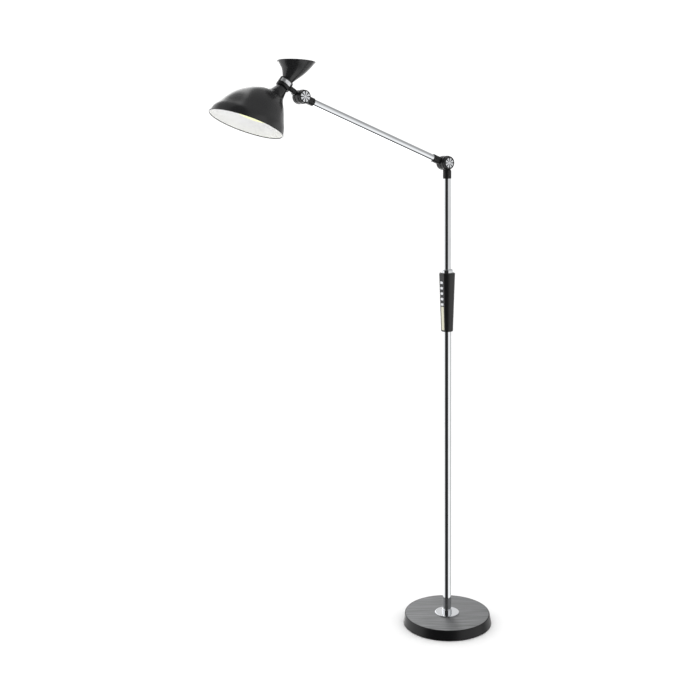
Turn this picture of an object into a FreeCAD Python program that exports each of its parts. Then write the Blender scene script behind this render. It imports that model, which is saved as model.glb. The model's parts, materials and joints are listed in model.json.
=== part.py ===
import FreeCAD, Part
import math
import os

# Adjustable arm floor lamp.
# Millimetres, +Z up. The origin is on the floor, on the pole's axis, under the middle of the base.
# The arm reaches toward -X, the clamp knobs face -Y and the control panel faces -X.

# ---- base ----
base_radius = 121.0
base_height = 28.0
base_side_taper = 5.3
base_wall = 2.2
base_edge_round = 1.6
floor_gap = 1.5
pad_thickness = 3.0
pad_margin = 2.0
pocket_link_radius = 24.0
weight_side_gap = 10.0
weight_round = 1.5
top_plate_thickness = 1.5
top_plate_rim = 2.4
ledge_width = 4.4
pocket_radius = 14.0
pocket_depth = 9.0
gland_radius = 5.5
gland_bore = 3.0
gland_flange = 1.6
gland_height = 13.0
channel_half_width = 4.5
channel_depth = 14.0

# ---- pole foot ----
flange_radius = 33.0
flange_thickness = 2.6
flange_round = 1.0
collar_wall = 2.0
collar_height = 8.0
foot_bolt_radius = 5.0
foot_bolt_head_radius = 8.5
foot_bolt_head_height = 5.5
foot_bolt_end_gap = 4.0
foot_washer_radius = 11.0
foot_washer_thickness = 1.6
foot_plug_height = 26.0

# ---- poles ----
lower_pole_radius = 11.0
upper_pole_radius = 9.7
pole_wall = 1.5
pole_split_gap = 0.6
pole_joint_reach = 30.0
pole_joint_bore = 5.0

# ---- control housing ----
housing_bottom_height = 809.5
housing_length = 153.0
housing_top_room = 11.0
housing_bottom_room = 4.4
housing_wall = 2.0
housing_round = 2.0
housing_flat_depth = 2.3
panel_thickness = 1.4
panel_half_width = 7.2
panel_top_margin = 6.0
panel_bottom_margin = 2.4
panel_round = 2.0
ferrule_wall = 5.1
ferrule_height = 9.5
ferrule_round = 3.0
key_count = 5
key_pitch = 14.2
first_key_drop = 24.5
key_height = 6.4
key_half_width = 5.0
key_proud = 1.1
key_edge_round = 0.45
key_end_share = 0.8
key_flange = 0.8
key_lip = 1.0
key_travel = 0.8
key_clearance = 0.25
switch_height = 0.5
switch_radius = 2.0
board_thickness = 0.8
board_half_width = 6.8
board_margin = 8.0
split_below_board = 5.2
lens_key_gap = 2.6
lens_bottom_margin = 1.6
lens_half_width = 5.0
lens_proud = 0.5
lens_depth = 1.2
lens_round = 2.0
light_strip_thickness = 0.6
light_strip_inset = 0.6

# ---- arm ----
elbow_height = 1242.0
arm_elevation = 20.6
arm_length = 445.4
arm_plane_offset = 13.6
arm_tube_radius = 8.0
arm_tube_wall = 1.2

# ---- elbow hinge ----
elbow_hub_radius = 17.8
elbow_pole_half_front = 3.8
elbow_pole_half_back = -6.2
elbow_arm_half_thickness = 12.8
elbow_cap_depth = 8.2
elbow_knob_rim = 4.2
elbow_knob_thickness = 5.4
pole_socket_wall = 1.0
pole_seat_gap = 3.7
pole_socket_depth = 18.5
arm_socket_wall = 1.8
arm_seat_gap = 5.2
arm_socket_depth = 16.0

# ---- head hinge ----
head_hub_radius = 16.1
head_arm_half_front = 11.0
head_arm_half_back = -2.2
head_stem_half_thickness = 10.8
head_cap_depth = 4.8
head_knob_rim = 2.8
head_knob_thickness = 6.6
head_socket_wall = 1.4
head_seat_gap = 4.9
head_socket_depth = 13.5

# ---- shared by both hinges ----
washer_gap = 0.9
washer_thickness = 0.7
washer_radius = 12.0
hub_round = 1.3
hub_clearance = 0.9
socket_chamfer = 1.2
bridge_root_share = 0.5
bridge_width_share = 0.86
bridge_inset = 0.6
bridge_overlap = 2.0
wire_way_start = 1.0
bolt_radius = 4.0
bolt_head_radius = 7.0
bolt_head_height = 2.4
bolt_knob_reach = 3.2
cap_recess_clearance = 0.5
cap_wall = 1.2
cap_step = 1.0
cap_crown_share = 0.62
cap_shoulder_share = 0.42
cap_crown_round = 0.3
cap_shoulder_round = 0.25
knob_gap = 0.3
knob_round = 1.2
knob_back_round = 0.7
knob_face_radius = 12.2
knob_face_thickness = 1.4
knob_face_round = 0.6
knob_notches = 8
knob_notch_width = 2.2
knob_notch_start = 5.6
knob_notch_depth = 0.7
set_screw_radius = 1.75
set_screw_sink = 0.2
set_screw_hex = 0.9
set_screw_hex_depth = 1.0
set_screw_shift = 1.0

# ---- neck ----
stem_elevation = 32.8
stem_length = 51.2
stem_radius = 6.2
stem_plane_offset = -1.5
stem_bridge_reach = 5.0
stem_bridge_depth = 7.0
neck_axis_tilt = 40.0
ring_wall = 8.6
ring_half_height = 10.2
ring_round = 1.0
band_bottom = -2.4
band_top = 6.2
band_thickness = 0.9
band_middle_azimuth = 68.0
band_half_angle = 49.0
band_screw_radius = 1.8
band_screw_head_radius = 2.6
band_screw_head_height = 0.8
band_screw_length = 4.4
band_screw_slot = 0.7
neck_tube_radius = 8.0
neck_tube_wall = 1.5
neck_tube_overhang = 5.5
neck_gap = 0.35
neck_nut_wall = 2.4
neck_nut_height = 3.0

# ---- shade ----
shade_wall = 1.2
shade_nut_clearance = 1.1
shade_rim_radius = 87.0
shade_reach = 95.8
shade_drop = 82.1
shade_neck_normal = -50.0
shade_rim_normal = -68.0
cone_nut_clearance = 0.4
cone_rim_radius = 43.6
cone_back = 26.2
cone_rise = 43.7
cone_neck_normal = 130.0
cone_rim_normal = 94.0

# ---- lamp module ----
pan_radius = 42.0
pan_height = 7.0
pan_wall = 1.2
pan_round = 2.0
pan_depth_in_shade = 24.0
pan_back_from_centre = 12.0
led_board_radius = 38.0
led_board_thickness = 1.6
diffuser_thickness = 2.0
diffuser_proud = 1.2
diffuser_slope = 1.5
post_radius = 5.0
post_wall = 1.2
post_cap_thickness = 1.5

# ---- roundings used on many pieces ----
fine_round = 0.4
small_round = 0.8

# ---- fits ----
slip_fit = 0.05
running_fit = 0.08
moving_gap = 0.35
tolerance = 0.01

# Sections of the shade from its neck to its rim, as shares of the whole way:
# outward, downward, growth of the radius, turn of the section's normal.
shade_sections = (
    (0.0, 0.0, 0.0, 0.0),
    (0.179, 0.174, 0.103, 0.22),
    (0.342, 0.223, 0.289, 0.28),
    (0.515, 0.315, 0.506, 0.50),
    (0.675, 0.440, 0.678, 0.80),
    (0.841, 0.672, 0.852, 1.0),
    (0.925, 0.825, 0.951, 1.0),
    (1.0, 1.0, 1.0, 1.0),
)

# Sections of the rear cone from its neck to its rim, as shares of the whole way.
cone_sections = (
    (0.0, 0.0, 0.0, 0.0),
    (0.267, 0.238, 0.190, 0.28),
    (0.611, 0.499, 0.468, 0.61),
    (0.878, 0.796, 0.802, 0.89),
    (1.0, 1.0, 1.0, 1.0),
)

# ---- derived ----
weight_bottom = pad_thickness
weight_radius = base_radius - weight_side_gap
pad_outer_radius = weight_radius - pad_margin
plate_bottom = base_height - top_plate_thickness
ledge_bottom = plate_bottom - base_wall
base_top_radius = base_radius - base_side_taper
plate_radius = base_top_radius - top_plate_rim
ledge_radius = plate_radius - ledge_width
widest_pole = max(lower_pole_radius, upper_pole_radius)
housing_top_radius = upper_pole_radius + housing_top_room
housing_bottom_radius = widest_pole + housing_bottom_room
ferrule_radius = upper_pole_radius + ferrule_wall
housing_top_height = housing_bottom_height + housing_length
last_key_drop = first_key_drop + (key_count - 1) * key_pitch
board_bottom_drop = last_key_drop + board_margin
pole_split_height = housing_top_height - board_bottom_drop - split_below_board
housing_slope = (housing_top_radius - housing_bottom_radius) / housing_length
housing_taper = math.degrees(math.atan(housing_slope))
collar_radius = lower_pole_radius + collar_wall
collar_middle = base_height + flange_thickness + collar_height / 2
elbow_knob_radius = knob_face_radius + elbow_knob_rim
head_knob_radius = knob_face_radius + head_knob_rim
pole_seat_drop = elbow_hub_radius + pole_seat_gap
pole_socket_drop = pole_seat_drop + pole_socket_depth
arm_seat_reach = elbow_hub_radius + arm_seat_gap
arm_socket_reach = arm_seat_reach + arm_socket_depth
head_seat_reach = head_hub_radius + head_seat_gap
head_socket_reach = head_seat_reach + head_socket_depth
pole_socket_radius = upper_pole_radius + pole_socket_wall
arm_socket_radius = arm_tube_radius + arm_socket_wall
head_socket_radius = arm_tube_radius + head_socket_wall
elbow_arm_half_front = elbow_pole_half_back - washer_gap
elbow_arm_half_back = elbow_arm_half_front - elbow_arm_half_thickness
head_stem_half_front = head_arm_half_back - washer_gap
head_stem_half_back = head_stem_half_front - head_stem_half_thickness
key_front_depth = panel_thickness + slip_fit
board_depth = key_front_depth + key_flange + key_travel + moving_gap + switch_height
ring_radius = neck_tube_radius + ring_wall
neck_nut_radius = neck_tube_radius + neck_nut_wall
shade_neck_radius = neck_nut_radius + shade_nut_clearance + shade_wall
cone_neck_radius = neck_nut_radius + cone_nut_clearance + shade_wall
neck_end = ring_half_height + neck_gap


def vec(x, y, z):
    return FreeCAD.Vector(x, y, z)


ORIGIN = vec(0, 0, 0)
X_AXIS = vec(1, 0, 0)
Y_AXIS = vec(0, 1, 0)
Z_AXIS = vec(0, 0, 1)


def frame(pivot, elevation):
    # A local frame in the plane of the arm: X out at this elevation, Y to the knobs, Z up from X.
    angle = math.radians(elevation)
    x_dir = vec(-math.cos(angle), 0, math.sin(angle))
    z_dir = vec(math.sin(angle), 0, math.cos(angle))
    return FreeCAD.Placement(pivot, FreeCAD.Rotation(x_dir, vec(0, -1, 0), z_dir, "XYZ"))


def put(shape, place):
    moved = shape.copy()
    moved.Placement = place.multiply(moved.Placement)
    return moved


def rod_x(radius, start, end, y=0.0, z=0.0):
    return Part.makeCylinder(radius, end - start, vec(start, y, z), X_AXIS)


def rod_y(radius, start, end, x=0.0, z=0.0):
    return Part.makeCylinder(radius, end - start, vec(x, start, z), Y_AXIS)


def rod_z(radius, start, end, x=0.0, y=0.0):
    return Part.makeCylinder(radius, end - start, vec(x, y, start), Z_AXIS)


def block(x0, x1, y0, y1, z0, z1):
    return Part.makeBox(x1 - x0, y1 - y0, z1 - z0, vec(x0, y0, z0))


def rounded_face(corners):
    # A face in the XZ plane. Each corner is (x, z, radius of its rounding).
    edges = []
    count = len(corners)
    starts = []
    ends = []
    middles = []
    for i in range(count):
        x, z, radius = corners[i]
        here = vec(x, 0, z)
        before = vec(corners[i - 1][0], 0, corners[i - 1][1])
        after = vec(corners[(i + 1) % count][0], 0, corners[(i + 1) % count][1])
        back = (before - here).normalize()
        ahead = (after - here).normalize()
        half = back.getAngle(ahead) / 2
        cut = radius / math.tan(half)
        starts.append(here + back * cut)
        ends.append(here + ahead * cut)
        middles.append(here + (back + ahead).normalize() * (radius / math.sin(half) - radius))
    for i in range(count):
        if corners[i][2] > 0:
            edges.append(Part.Arc(starts[i], middles[i], ends[i]).toShape())
        edges.append(Part.makeLine(ends[i], starts[(i + 1) % count]))
    return Part.Face(Part.Wire(edges))


def turned(corners):
    # A turned piece about the Z axis, from (radius, height, rounding) corners.
    return rounded_face(corners).revolve(ORIGIN, Z_AXIS, 360)


def turned_y(corners):
    # The same about the Y axis, where the second number runs along Y.
    return put(turned(corners), FreeCAD.Placement(ORIGIN, FreeCAD.Rotation(X_AXIS, -90)))


def hub_disc(radius, back, front, rounding):
    return turned_y([
        (0, back, 0),
        (radius, back, rounding),
        (radius, front, rounding),
        (0, front, 0),
    ])


def x_edges(shape):
    # The straight edges that run along X.
    return [edge for edge in shape.Edges if abs(edge.tangentAt(0).x) > 1 - tolerance]


def front_edges(shape, front):
    # The edges that lie in the plane x = front.
    return [edge for edge in shape.Edges if edge.BoundBox.XMin > front - tolerance]


def hex_prism(radius, start, end):
    # A hexagonal bar along Z, by the radius of its corners.
    corners = []
    for i in range(7):
        angle = math.radians(60 * i)
        corners.append(vec(radius * math.cos(angle), radius * math.sin(angle), start))
    return Part.Face(Part.makePolygon(corners)).extrude(vec(0, 0, end - start))


# ---- base ----

def cover_radius(height):
    share = (height - floor_gap) / (base_height - floor_gap)
    return base_radius - base_side_taper * share


def base_cover():
    top = base_height
    inner_top = base_top_radius - base_wall
    inner_bottom = base_radius - base_wall
    shell = turned([
        (inner_bottom, floor_gap, fine_round),
        (base_radius, floor_gap, small_round),
        (base_top_radius, top, base_edge_round),
        (plate_radius, top, fine_round),
        (plate_radius, plate_bottom, 0),
        (ledge_radius, plate_bottom, 0),
        (ledge_radius, ledge_bottom, 0),
        (inner_top, ledge_bottom, 0),
    ])
    hole = rod_x(gland_radius, 0, base_radius, z=gland_height)
    return shell.cut(hole)


def base_weight():
    lip = ledge_radius - slip_fit
    body = turned([
        (0, weight_bottom, 0),
        (weight_radius, weight_bottom, weight_round),
        (weight_radius, ledge_bottom, fine_round),
        (lip, ledge_bottom, 0),
        (lip, plate_bottom, 0),
        (0, plate_bottom, 0),
    ])
    body = body.cut(rod_z(pocket_radius, weight_bottom, weight_bottom + pocket_depth))
    body = body.cut(rod_z(foot_bolt_radius + slip_fit, weight_bottom, plate_bottom))
    channel = block(pocket_link_radius, weight_radius, -channel_half_width, channel_half_width,
                    weight_bottom, weight_bottom + channel_depth)
    link = block(0, pocket_link_radius, -channel_half_width, channel_half_width,
                 weight_bottom, weight_bottom + pocket_depth)
    return body.cut(channel).cut(link)


def base_top_plate():
    return turned([
        (lower_pole_radius + slip_fit, plate_bottom, 0),
        (plate_radius - slip_fit, plate_bottom, 0),
        (plate_radius - slip_fit, base_height, fine_round),
        (lower_pole_radius + slip_fit, base_height, 0),
    ])


def floor_pad():
    return turned([
        (0, 0, 0),
        (pad_outer_radius, 0, small_round),
        (pad_outer_radius, pad_thickness, 0),
        (0, pad_thickness, 0),
    ])


def cord_gland():
    # A rubber grommet through the wall of the cover, with a flange inside and outside,
    # on the side away from the arm.
    flange = gland_radius + gland_flange
    wall_in = cover_radius(gland_height + flange) - base_wall - gland_flange
    wall_out = cover_radius(gland_height - flange) + gland_flange
    body = rod_x(flange, wall_in, wall_out, z=gland_height).cut(base_cover())
    return body.cut(rod_x(gland_bore, 0, wall_out, z=gland_height))


def pole_flange():
    bottom = base_height
    top = base_height + flange_thickness
    return turned([
        (lower_pole_radius + slip_fit, bottom, 0),
        (flange_radius, bottom, 0),
        (flange_radius, top, flange_round),
        (lower_pole_radius + slip_fit, top, 0),
    ])


def pole_collar():
    bottom = base_height + flange_thickness
    top = bottom + collar_height
    ring = turned([
        (lower_pole_radius + slip_fit, bottom, 0),
        (collar_radius, bottom, 0),
        (collar_radius, top, flange_round),
        (lower_pole_radius + slip_fit, top, fine_round),
    ])
    return ring.cut(rod_y(set_screw_radius, 0, collar_radius, z=collar_middle))


def set_screw(start, end):
    # A headless screw along +X with a hexagon socket in its outer end.
    tip = end - set_screw_sink
    screw = rod_x(set_screw_radius, start, tip)
    socket = hex_prism(set_screw_hex, tip - set_screw_hex_depth, tip)
    socket = put(socket, FreeCAD.Placement(ORIGIN, FreeCAD.Rotation(Y_AXIS, 90)))
    return screw.cut(socket)


def aim(place, azimuth):
    # Turns +X of a piece to this azimuth about the local Z axis.
    return place.multiply(FreeCAD.Placement(ORIGIN, FreeCAD.Rotation(Z_AXIS, azimuth)))


def at(x, y, z):
    return FreeCAD.Placement(vec(x, y, z), FreeCAD.Rotation())


def collar_screw():
    screw = set_screw(lower_pole_radius - pole_wall, collar_radius)
    return put(screw, aim(at(0, 0, collar_middle), 90))


def foot_plug():
    radius = lower_pole_radius - pole_wall
    return turned([
        (foot_bolt_radius, plate_bottom, small_round),
        (radius, plate_bottom, small_round),
        (radius, plate_bottom + foot_plug_height, small_round),
        (foot_bolt_radius, plate_bottom + foot_plug_height, small_round),
    ])


def foot_washer():
    top = weight_bottom + pocket_depth
    body = rod_z(foot_washer_radius, top - foot_washer_thickness, top)
    return body.cut(rod_z(foot_bolt_radius, 0, top))


def foot_bolt():
    under = weight_bottom + pocket_depth - foot_washer_thickness
    head = turned([
        (0, under - foot_bolt_head_height, 0),
        (foot_bolt_head_radius, under - foot_bolt_head_height, small_round),
        (foot_bolt_head_radius, under, 0),
        (0, under, 0),
    ])
    end = plate_bottom + foot_plug_height - foot_bolt_end_gap
    shank = rod_z(foot_bolt_radius, under, end)
    return head.fuse(shank).removeSplitter()


# ---- poles ----

def lower_pole():
    tube = rod_z(lower_pole_radius, plate_bottom, pole_split_height)
    tube = tube.cut(rod_z(lower_pole_radius - pole_wall, plate_bottom, pole_split_height))
    return tube.cut(rod_y(set_screw_radius, 0, collar_radius, z=collar_middle))


def upper_pole():
    start = pole_split_height + pole_split_gap
    end = elbow_height - pole_seat_drop
    tube = rod_z(upper_pole_radius, start, end)
    tube = tube.cut(rod_z(upper_pole_radius - pole_wall, start, end))
    return tube.cut(rod_y(set_screw_radius, -pole_socket_radius, 0,
                          z=elbow_height - pole_screw_distance()))


def pole_joint():
    low = lower_pole_radius - pole_wall
    high = upper_pole_radius - pole_wall
    start = pole_split_height - pole_joint_reach
    split = pole_split_height + pole_split_gap / 2
    end = pole_split_height + pole_joint_reach
    return turned([
        (pole_joint_bore, start, fine_round),
        (low, start, small_round),
        (low, pole_split_height, 0),
        (upper_pole_radius, pole_split_height, 0),
        (upper_pole_radius, pole_split_height + pole_split_gap, 0),
        (high, pole_split_height + pole_split_gap, 0),
        (high, end, small_round),
        (pole_joint_bore, end, fine_round),
    ])


# ---- control housing ----

def panel_place():
    # X out of the panel's face, Z up along it, the origin at the top edge of the flat.
    distance = housing_top_radius - housing_flat_depth
    return frame(vec(-distance, 0, housing_top_height), -housing_taper)


def flat_cut(depth):
    # Everything farther out than this depth behind the panel's face.
    size = 2 * housing_length
    return put(block(-depth, size, -size, size, -size, size), panel_place())


def housing():
    low = housing_bottom_height
    top = housing_top_height
    outer = turned([
        (0, low, 0),
        (housing_bottom_radius, low, housing_round),
        (housing_top_radius, top, housing_round),
        (0, top, 0),
    ])
    inner = Part.makeCone(housing_bottom_radius - housing_wall, housing_top_radius - housing_wall,
                          housing_length - 2 * housing_wall, vec(0, 0, low + housing_wall), Z_AXIS)
    outer = outer.cut(flat_cut(0))
    inner = inner.cut(flat_cut(panel_thickness))
    body = outer.cut(inner)
    body = body.cut(rod_z(lower_pole_radius, low, low + housing_wall))
    body = body.cut(rod_z(upper_pole_radius, top - housing_wall, top))
    return body.cut(panel_blank(0))


def panel_blank(clearance):
    half = panel_half_width - clearance
    plate = block(-panel_thickness, 0, -half, half,
                  -housing_length + panel_bottom_margin + clearance,
                  -panel_top_margin - clearance)
    return put(plate.makeFillet(panel_round, x_edges(plate)), panel_place())


def key_drop(index):
    return first_key_drop + index * key_pitch


def key_blank(index, clearance, inner, outer):
    half = key_half_width + clearance
    tall = key_height / 2 + clearance
    drop = key_drop(index)
    pill = block(inner, outer, -half, half, -drop - tall, -drop + tall)
    return pill.makeFillet(tall * key_end_share, x_edges(pill))


def lens_blank(clearance, inner, outer):
    half = lens_half_width + clearance
    bottom = -housing_length + panel_bottom_margin + lens_bottom_margin - clearance
    top = -last_key_drop - key_height / 2 - lens_key_gap + clearance
    pill = block(inner, outer, -half, half, bottom, top)
    return pill.makeFillet(lens_round, x_edges(pill))


def control_panel():
    plate = panel_blank(slip_fit)
    for index in range(key_count):
        hole = key_blank(index, key_clearance, -2 * panel_thickness, panel_thickness)
        plate = plate.cut(put(hole, panel_place()))
    return plate.cut(put(lens_blank(0, -2 * panel_thickness, panel_thickness), panel_place()))


def key(index):
    cap = key_blank(index, 0, -key_front_depth, key_proud)
    cap = cap.makeFillet(key_edge_round, front_edges(cap, key_proud))
    flange = key_blank(index, key_lip, -key_front_depth - key_flange, -key_front_depth)
    return put(cap.fuse(flange).removeSplitter(), panel_place())


def control_board():
    top = -first_key_drop + board_margin
    board = block(-board_depth - board_thickness, -board_depth, -board_half_width,
                  board_half_width, -board_bottom_drop, top)
    return put(board, panel_place())


def key_switches():
    domes = []
    for index in range(key_count):
        dome = rod_x(switch_radius, -board_depth, -board_depth + switch_height,
                     z=-key_drop(index))
        domes.append(put(dome, panel_place()))
    return Part.makeCompound(domes)


def board_ribs():
    # Two moulded ribs carry the board's long edges from the back of the panel.
    top = -first_key_drop + board_margin
    inner = key_half_width + key_lip + key_clearance
    ribs = []
    for low, high in ((-board_half_width, -inner), (inner, board_half_width)):
        rib = block(-board_depth, -panel_thickness, low, high, -board_bottom_drop, top)
        ribs.append(put(rib, panel_place()))
    return Part.makeCompound(ribs)


def night_light_lens():
    lens = lens_blank(0, -lens_depth, lens_proud)
    return put(lens.makeFillet(fine_round, front_edges(lens, lens_proud)), panel_place())


def night_light_strip():
    strip = lens_blank(-light_strip_inset, -lens_depth - light_strip_thickness, -lens_depth)
    return put(strip, panel_place())


def pole_ferrule():
    low = housing_top_height
    bore = upper_pole_radius
    return turned([
        (bore, low, 0),
        (ferrule_radius, low, fine_round),
        (ferrule_radius, low + ferrule_height, ferrule_round),
        (bore, low + ferrule_height, fine_round),
    ])


# ---- hinges ----

def socket_x(radius, start, end, y):
    # A round socket along +X whose open end has a chamfer.
    body = turned([
        (0, start, 0),
        (radius, start, small_round),
        (radius, end - socket_chamfer, 0),
        (radius - socket_chamfer, end, 0),
        (0, end, 0),
    ])
    return put(body, FreeCAD.Placement(vec(0, y, 0), FreeCAD.Rotation(Y_AXIS, 90)))


def hinge_half(hub_radius, back, front, socket_radius, socket_end, socket_y):
    # A round cheek with a socket that points along +X, in the hinge's local frame.
    start = hub_radius + hub_clearance
    cheek = hub_disc(hub_radius, back, front, hub_round)
    socket = socket_x(socket_radius, start, socket_end, socket_y)
    wide = min(socket_radius, hub_radius) * bridge_width_share
    low = max(back, socket_y - socket_radius) + bridge_inset
    high = min(front, socket_y + socket_radius) - bridge_inset
    bridge = block(hub_radius * bridge_root_share, start + bridge_overlap, low, high, -wide, wide)
    return cheek.fuse(bridge).fuse(socket)


def screw_hole(distance, y, reach):
    # A hole for a set screw across a socket on the local X axis, toward the knobs.
    return rod_y(set_screw_radius, y, y + reach, x=distance)


def elbow_place(elevation):
    return frame(vec(0, 0, elbow_height), elevation)


def pole_screw_distance():
    return (pole_seat_drop + pole_socket_drop) / 2 + set_screw_shift


def elbow_pole_half():
    half = hinge_half(elbow_hub_radius, elbow_pole_half_back, elbow_pole_half_front,
                      pole_socket_radius, pole_socket_drop, 0)
    half = half.cut(rod_x(upper_pole_radius + slip_fit, pole_seat_drop, pole_socket_drop))
    wire_way = rod_x(upper_pole_radius - pole_wall, elbow_hub_radius + wire_way_start,
                     pole_seat_drop)
    half = half.cut(wire_way)
    half = half.cut(rod_y(bolt_radius, elbow_pole_half_back, elbow_pole_half_front))
    half = half.cut(screw_hole(pole_screw_distance(), 0, pole_socket_radius))
    return put(half.removeSplitter(), elbow_place(-90))


def elbow_arm_half():
    half = hinge_half(elbow_hub_radius, elbow_arm_half_back, elbow_arm_half_front,
                      arm_socket_radius, arm_socket_reach, -arm_plane_offset)
    tube = rod_x(arm_tube_radius + slip_fit, arm_seat_reach, arm_socket_reach,
                 y=-arm_plane_offset)
    half = half.cut(tube)
    half = half.cut(rod_y(bolt_radius + running_fit, elbow_arm_half_back, elbow_arm_half_front))
    hole = screw_hole(arm_screw_distance(), -arm_plane_offset, arm_socket_radius)
    return put(half.cut(hole).removeSplitter(), elbow_place(arm_elevation))


def arm_screw_distance():
    return (arm_seat_reach + arm_socket_reach) / 2 + set_screw_shift


def head_screw_distance():
    return (head_seat_reach + head_socket_reach) / 2 + set_screw_shift


def hinge_cap(radius, back, depth):
    # A domed cap over the bolt's head, hollow inside, behind the rear cheek.
    outer = turned_y([
        (0, back - depth, 0),
        (radius * cap_crown_share, back - depth, depth * cap_crown_round),
        (radius, back - depth * cap_shoulder_share, depth * cap_shoulder_round),
        (radius, back, 0),
        (0, back, 0),
    ])
    room = rod_y(bolt_head_radius + cap_recess_clearance, back - depth + cap_wall, back)
    return outer.cut(room)


def hinge_bolt(rear_face, front_face):
    # Head behind the rear cheek, shank through both cheeks into the knob.
    head_start = rear_face - moving_gap - bolt_head_height
    head = turned_y([
        (0, head_start, 0),
        (bolt_head_radius, head_start, fine_round),
        (bolt_head_radius, rear_face - moving_gap, 0),
        (0, rear_face - moving_gap, 0),
    ])
    shank = rod_y(bolt_radius, rear_face - moving_gap, front_face + knob_gap + bolt_knob_reach)
    return head.fuse(shank).removeSplitter()


def hinge_washer(front_cheek_back):
    ring = rod_y(washer_radius, front_cheek_back - washer_thickness, front_cheek_back)
    return ring.cut(rod_y(bolt_radius, front_cheek_back - washer_thickness, front_cheek_back))


def knob_body(radius, start, thickness):
    end = start + thickness
    body = turned_y([
        (0, start, 0),
        (radius, start, knob_back_round),
        (radius, end, knob_round),
        (0, end, 0),
    ])
    body = body.cut(rod_y(knob_face_radius, end - knob_face_thickness, end))
    return body.cut(rod_y(bolt_radius + running_fit, start, start + bolt_knob_reach + moving_gap))


def knob_face(start, thickness):
    # A bright disc with wedge notches round its edge.
    end = start + thickness
    disc = turned_y([
        (0, end - knob_face_thickness, 0),
        (knob_face_radius, end - knob_face_thickness, 0),
        (knob_face_radius, end + knob_notch_depth, knob_face_round),
        (0, end + knob_notch_depth, 0),
    ])
    for i in range(knob_notches):
        notch = block(knob_notch_start, 2 * knob_face_radius, end, end + 2 * knob_notch_depth,
                      -knob_notch_width / 2, knob_notch_width / 2)
        turn = FreeCAD.Placement(ORIGIN, FreeCAD.Rotation(Y_AXIS, 360.0 * i / knob_notches))
        disc = disc.cut(put(notch, turn))
    return disc


def elbow_knob_start():
    return elbow_pole_half_front + knob_gap


def head_knob_start():
    return head_arm_half_front + knob_gap


def arm_set_screws():
    # One in each end socket of the arm, both facing the knobs.
    start = arm_tube_radius - arm_tube_wall
    first = put(set_screw(start, arm_socket_radius),
                aim(at(arm_screw_distance(), -arm_plane_offset, 0), 90))
    second = put(set_screw(start, head_socket_radius), aim(at(head_screw_distance(), 0, 0), 90))
    return Part.makeCompound([put(first, elbow_place(arm_elevation)),
                              put(second, head_place(-180 + arm_elevation))])


def pole_set_screw():
    screw = set_screw(upper_pole_radius - pole_wall, pole_socket_radius)
    screw = put(screw, aim(at(pole_screw_distance(), 0, 0), 90))
    return put(screw, elbow_place(-90))


# ---- arm ----

def arm_tube():
    end = arm_length - head_seat_reach
    tube = rod_x(arm_tube_radius, arm_seat_reach, end, y=-arm_plane_offset)
    tube = tube.cut(rod_x(arm_tube_radius - arm_tube_wall, arm_seat_reach, end,
                          y=-arm_plane_offset))
    for distance in (arm_screw_distance(), arm_length - head_screw_distance()):
        tube = tube.cut(screw_hole(distance, -arm_plane_offset, arm_tube_radius))
    return put(tube, elbow_place(arm_elevation))


def head_pivot():
    angle = math.radians(arm_elevation)
    return vec(-arm_length * math.cos(angle), arm_plane_offset,
               elbow_height + arm_length * math.sin(angle))


def head_place(elevation):
    return frame(head_pivot(), elevation)


def head_arm_half():
    half = hinge_half(head_hub_radius, head_arm_half_back, head_arm_half_front,
                      head_socket_radius, head_socket_reach, 0)
    half = half.cut(rod_x(arm_tube_radius + slip_fit, head_seat_reach, head_socket_reach))
    half = half.cut(rod_y(bolt_radius, head_arm_half_back, head_arm_half_front))
    half = half.cut(screw_hole(head_screw_distance(), 0, head_socket_radius))
    return put(half.removeSplitter(), head_place(-180 + arm_elevation))


# ---- neck ----

def neck_place():
    angle = math.radians(stem_elevation)
    centre = head_pivot() + vec(-stem_length * math.cos(angle), -stem_plane_offset,
                                stem_length * math.sin(angle))
    return frame(centre, neck_axis_tilt)


def ring_blank():
    body = turned([
        (neck_tube_radius + running_fit, -ring_half_height, 0),
        (ring_radius, -ring_half_height, ring_round),
        (ring_radius, ring_half_height, ring_round),
        (neck_tube_radius + running_fit, ring_half_height, 0),
    ])
    return put(body, neck_place())


def band_sector(inner, outer):
    sector = rounded_face([
        (inner, band_bottom, 0),
        (outer, band_bottom, 0),
        (outer, band_top, 0),
        (inner, band_top, 0),
    ]).revolve(ORIGIN, Z_AXIS, 2 * band_half_angle)
    turn = aim(neck_place(), band_middle_azimuth - band_half_angle)
    return put(sector, turn)


def band_screw_line(radius, start, end):
    middle = (band_bottom + band_top) / 2
    line = rod_x(radius, start, end, z=middle)
    return put(line, aim(neck_place(), band_middle_azimuth))


def stem_and_ring():
    # The rear cheek of the head hinge, its stem and the ring round the neck are one casting.
    half = hub_disc(head_hub_radius, head_stem_half_back, head_stem_half_front, hub_round)
    start = head_hub_radius + hub_clearance
    bridge = block(head_hub_radius * bridge_root_share, start + stem_bridge_reach,
                   head_stem_half_front - stem_bridge_depth, head_stem_half_front,
                   -stem_radius, stem_radius)
    end = stem_length - (ring_radius + neck_tube_radius) / 2
    stem = rod_x(stem_radius, start, end, y=stem_plane_offset)
    body = put(half.fuse(bridge).fuse(stem), head_place(stem_elevation))
    bore = rod_y(bolt_radius + running_fit, head_stem_half_back, head_stem_half_front)
    body = body.cut(put(bore, head_place(0)))
    body = body.fuse(ring_blank())
    body = body.cut(band_sector(ring_radius - band_thickness, ring_radius + band_thickness))
    return body.cut(band_screw_line(band_screw_radius, neck_tube_radius, ring_radius))


def neck_band():
    band = band_sector(ring_radius - band_thickness, ring_radius - slip_fit)
    return band.cut(band_screw_line(band_screw_radius, neck_tube_radius, ring_radius))


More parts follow.
